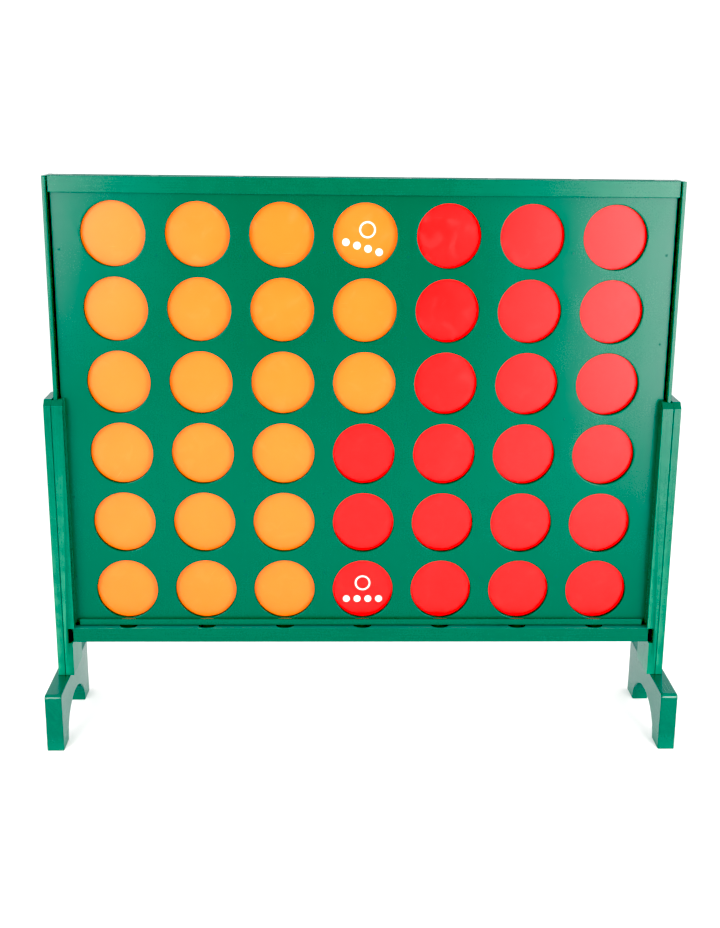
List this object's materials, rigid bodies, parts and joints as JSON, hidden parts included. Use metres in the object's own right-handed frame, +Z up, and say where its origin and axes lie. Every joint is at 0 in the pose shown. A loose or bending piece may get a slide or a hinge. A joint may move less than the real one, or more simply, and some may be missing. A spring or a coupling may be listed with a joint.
{
  "type": "giant four in a row",
  "caption": "Upright wooden game board with round windows, held in grooved posts on arched feet, with a pull-out release plank and loose playing discs in its columns.",
  "frame": {"origin": "on the ground, in the middle of the footprint of the two feet", "axes": "+X runs along the board to the right as a player sees it, +Y points away from that player, through the board, +Z up"},
  "size_m": [1.2, 0.298, 1.056],
  "materials": {
    "green_paint": "smooth satin green paint over planed softwood and plywood, faint grain on the posts and feet",
    "orange_disc": "gloss orange, edges rounded",
    "red_disc": "gloss red, edges rounded"
  },
  "bodies": {
    "stand": {"left_post": "green_paint", "right_post": "green_paint", "left_foot": "green_paint", "right_foot": "green_paint"},
    "board": {"front_panel": "green_paint", "back_panel": "green_paint", "front_top_strip": "green_paint", "back_top_strip": "green_paint", "left_side_rail": "green_paint", "right_side_rail": "green_paint", "column_divider_1": "green_paint", "column_divider_2": "green_paint", "column_divider_3": "green_paint", "column_divider_4": "green_paint", "column_divider_5": "green_paint", "column_divider_6": "green_paint"},
    "release_plank": {"release_plank": "green_paint"},
    "disc_c1_r1": {"disc_c1_r1": "orange_disc"},
    "disc_c1_r2": {"disc_c1_r2": "orange_disc"},
    "disc_c1_r3": {"disc_c1_r3": "orange_disc"},
    "disc_c1_r4": {"disc_c1_r4": "orange_disc"},
    "disc_c1_r5": {"disc_c1_r5": "orange_disc"},
    "disc_c1_r6": {"disc_c1_r6": "orange_disc"},
    "disc_c2_r1": {"disc_c2_r1": "orange_disc"},
    "disc_c2_r2": {"disc_c2_r2": "orange_disc"},
    "disc_c2_r3": {"disc_c2_r3": "orange_disc"},
    "disc_c2_r4": {"disc_c2_r4": "orange_disc"},
    "disc_c2_r5": {"disc_c2_r5": "orange_disc"},
    "disc_c2_r6": {"disc_c2_r6": "orange_disc"},
    "disc_c3_r1": {"disc_c3_r1": "orange_disc"},
    "disc_c3_r2": {"disc_c3_r2": "orange_disc"},
    "disc_c3_r3": {"disc_c3_r3": "orange_disc"},
    "disc_c3_r4": {"disc_c3_r4": "orange_disc"},
    "disc_c3_r5": {"disc_c3_r5": "orange_disc"},
    "disc_c3_r6": {"disc_c3_r6": "orange_disc"},
    "disc_c4_r1": {"disc_c4_r1": "red_disc"},
    "disc_c4_r2": {"disc_c4_r2": "red_disc"},
    "disc_c4_r3": {"disc_c4_r3": "red_disc"},
    "disc_c4_r4": {"disc_c4_r4": "orange_disc"},
    "disc_c4_r5": {"disc_c4_r5": "orange_disc"},
    "disc_c4_r6": {"disc_c4_r6": "orange_disc"},
    "disc_c5_r1": {"disc_c5_r1": "red_disc"},
    "disc_c5_r2": {"disc_c5_r2": "red_disc"},
    "disc_c5_r3": {"disc_c5_r3": "red_disc"},
    "disc_c5_r4": {"disc_c5_r4": "red_disc"},
    "disc_c5_r5": {"disc_c5_r5": "red_disc"},
    "disc_c5_r6": {"disc_c5_r6": "red_disc"},
    "disc_c6_r1": {"disc_c6_r1": "red_disc"},
    "disc_c6_r2": {"disc_c6_r2": "red_disc"},
    "disc_c6_r3": {"disc_c6_r3": "red_disc"},
    "disc_c6_r4": {"disc_c6_r4": "red_disc"},
    "disc_c6_r5": {"disc_c6_r5": "red_disc"},
    "disc_c6_r6": {"disc_c6_r6": "red_disc"},
    "disc_c7_r1": {"disc_c7_r1": "red_disc"},
    "disc_c7_r2": {"disc_c7_r2": "red_disc"},
    "disc_c7_r3": {"disc_c7_r3": "red_disc"},
    "disc_c7_r4": {"disc_c7_r4": "red_disc"},
    "disc_c7_r5": {"disc_c7_r5": "red_disc"},
    "disc_c7_r6": {"disc_c7_r6": "red_disc"}
  },
  "joints": [
    {"name": "board_lift", "type": "slide", "parent": "stand", "child": "board", "axis": [0, 0, 1], "range_m": [0, 0.4]},
    {"name": "plank_pull", "type": "slide", "parent": "stand", "child": "release_plank", "axis": [0, -1, 0], "range_m": [0, 0.06]},
    {"name": "disc_c1_r1_rise", "type": "slide", "parent": "stand", "child": "disc_c1_r1", "axis": [0, 0, 1], "range_m": [0, 0.175]},
    {"name": "disc_c1_r2_rise", "type": "slide", "parent": "disc_c1_r1", "child": "disc_c1_r2", "axis": [0, 0, 1], "range_m": [0, 0.175]},
    {"name": "disc_c1_r3_rise", "type": "slide", "parent": "disc_c1_r2", "child": "disc_c1_r3", "axis": [0, 0, 1], "range_m": [0, 0.175]},
    {"name": "disc_c1_r4_rise", "type": "slide", "parent": "disc_c1_r3", "child": "disc_c1_r4", "axis": [0, 0, 1], "range_m": [0, 0.175]},
    {"name": "disc_c1_r5_rise", "type": "slide", "parent": "disc_c1_r4", "child": "disc_c1_r5", "axis": [0, 0, 1], "range_m": [0, 0.175]},
    {"name": "disc_c1_r6_rise", "type": "slide", "parent": "disc_c1_r5", "child": "disc_c1_r6", "axis": [0, 0, 1], "range_m": [0, 0.175]},
    {"name": "disc_c2_r1_rise", "type": "slide", "parent": "stand", "child": "disc_c2_r1", "axis": [0, 0, 1], "range_m": [0, 0.175]},
    {"name": "disc_c2_r2_rise", "type": "slide", "parent": "disc_c2_r1", "child": "disc_c2_r2", "axis": [0, 0, 1], "range_m": [0, 0.175]},
    {"name": "disc_c2_r3_rise", "type": "slide", "parent": "disc_c2_r2", "child": "disc_c2_r3", "axis": [0, 0, 1], "range_m": [0, 0.175]},
    {"name": "disc_c2_r4_rise", "type": "slide", "parent": "disc_c2_r3", "child": "disc_c2_r4", "axis": [0, 0, 1], "range_m": [0, 0.175]},
    {"name": "disc_c2_r5_rise", "type": "slide", "parent": "disc_c2_r4", "child": "disc_c2_r5", "axis": [0, 0, 1], "range_m": [0, 0.175]},
    {"name": "disc_c2_r6_rise", "type": "slide", "parent": "disc_c2_r5", "child": "disc_c2_r6", "axis": [0, 0, 1], "range_m": [0, 0.175]},
    {"name": "disc_c3_r1_rise", "type": "slide", "parent": "stand", "child": "disc_c3_r1", "axis": [0, 0, 1], "range_m": [0, 0.175]},
    {"name": "disc_c3_r2_rise", "type": "slide", "parent": "disc_c3_r1", "child": "disc_c3_r2", "axis": [0, 0, 1], "range_m": [0, 0.175]},
    {"name": "disc_c3_r3_rise", "type": "slide", "parent": "disc_c3_r2", "child": "disc_c3_r3", "axis": [0, 0, 1], "range_m": [0, 0.175]},
    {"name": "disc_c3_r4_rise", "type": "slide", "parent": "disc_c3_r3", "child": "disc_c3_r4", "axis": [0, 0, 1], "range_m": [0, 0.175]},
    {"name": "disc_c3_r5_rise", "type": "slide", "parent": "disc_c3_r4", "child": "disc_c3_r5", "axis": [0, 0, 1], "range_m": [0, 0.175]},
    {"name": "disc_c3_r6_rise", "type": "slide", "parent": "disc_c3_r5", "child": "disc_c3_r6", "axis": [0, 0, 1], "range_m": [0, 0.175]},
    {"name": "disc_c4_r1_rise", "type": "slide", "parent": "stand", "child": "disc_c4_r1", "axis": [0, 0, 1], "range_m": [0, 0.175]},
    {"name": "disc_c4_r2_rise", "type": "slide", "parent": "disc_c4_r1", "child": "disc_c4_r2", "axis": [0, 0, 1], "range_m": [0, 0.175]},
    {"name": "disc_c4_r3_rise", "type": "slide", "parent": "disc_c4_r2", "child": "disc_c4_r3", "axis": [0, 0, 1], "range_m": [0, 0.175]},
    {"name": "disc_c4_r4_rise", "type": "slide", "parent": "disc_c4_r3", "child": "disc_c4_r4", "axis": [0, 0, 1], "range_m": [0, 0.175]},
    {"name": "disc_c4_r5_rise", "type": "slide", "parent": "disc_c4_r4", "child": "disc_c4_r5", "axis": [0, 0, 1], "range_m": [0, 0.175]},
    {"name": "disc_c4_r6_rise", "type": "slide", "parent": "disc_c4_r5", "child": "disc_c4_r6", "axis": [0, 0, 1], "range_m": [0, 0.175]},
    {"name": "disc_c5_r1_rise", "type": "slide", "parent": "stand", "child": "disc_c5_r1", "axis": [0, 0, 1], "range_m": [0, 0.175]},
    {"name": "disc_c5_r2_rise", "type": "slide", "parent": "disc_c5_r1", "child": "disc_c5_r2", "axis": [0, 0, 1], "range_m": [0, 0.175]},
    {"name": "disc_c5_r3_rise", "type": "slide", "parent": "disc_c5_r2", "child": "disc_c5_r3", "axis": [0, 0, 1], "range_m": [0, 0.175]},
    {"name": "disc_c5_r4_rise", "type": "slide", "parent": "disc_c5_r3", "child": "disc_c5_r4", "axis": [0, 0, 1], "range_m": [0, 0.175]},
    {"name": "disc_c5_r5_rise", "type": "slide", "parent": "disc_c5_r4", "child": "disc_c5_r5", "axis": [0, 0, 1], "range_m": [0, 0.175]},
    {"name": "disc_c5_r6_rise", "type": "slide", "parent": "disc_c5_r5", "child": "disc_c5_r6", "axis": [0, 0, 1], "range_m": [0, 0.175]},
    {"name": "disc_c6_r1_rise", "type": "slide", "parent": "stand", "child": "disc_c6_r1", "axis": [0, 0, 1], "range_m": [0, 0.175]},
    {"name": "disc_c6_r2_rise", "type": "slide", "parent": "disc_c6_r1", "child": "disc_c6_r2", "axis": [0, 0, 1], "range_m": [0, 0.175]},
    {"name": "disc_c6_r3_rise", "type": "slide", "parent": "disc_c6_r2", "child": "disc_c6_r3", "axis": [0, 0, 1], "range_m": [0, 0.175]},
    {"name": "disc_c6_r4_rise", "type": "slide", "parent": "disc_c6_r3", "child": "disc_c6_r4", "axis": [0, 0, 1], "range_m": [0, 0.175]},
    {"name": "disc_c6_r5_rise", "type": "slide", "parent": "disc_c6_r4", "child": "disc_c6_r5", "axis": [0, 0, 1], "range_m": [0, 0.175]},
    {"name": "disc_c6_r6_rise", "type": "slide", "parent": "disc_c6_r5", "child": "disc_c6_r6", "axis": [0, 0, 1], "range_m": [0, 0.175]},
    {"name": "disc_c7_r1_rise", "type": "slide", "parent": "stand", "child": "disc_c7_r1", "axis": [0, 0, 1], "range_m": [0, 0.175]},
    {"name": "disc_c7_r2_rise", "type": "slide", "parent": "disc_c7_r1", "child": "disc_c7_r2", "axis": [0, 0, 1], "range_m": [0, 0.175]},
    {"name": "disc_c7_r3_rise", "type": "slide", "parent": "disc_c7_r2", "child": "disc_c7_r3", "axis": [0, 0, 1], "range_m": [0, 0.175]},
    {"name": "disc_c7_r4_rise", "type": "slide", "parent": "disc_c7_r3", "child": "disc_c7_r4", "axis": [0, 0, 1], "range_m": [0, 0.175]},
    {"name": "disc_c7_r5_rise", "type": "slide", "parent": "disc_c7_r4", "child": "disc_c7_r5", "axis": [0, 0, 1], "range_m": [0, 0.175]},
    {"name": "disc_c7_r6_rise", "type": "slide", "parent": "disc_c7_r5", "child": "disc_c7_r6", "axis": [0, 0, 1], "range_m": [0, 0.175]}
  ]
}
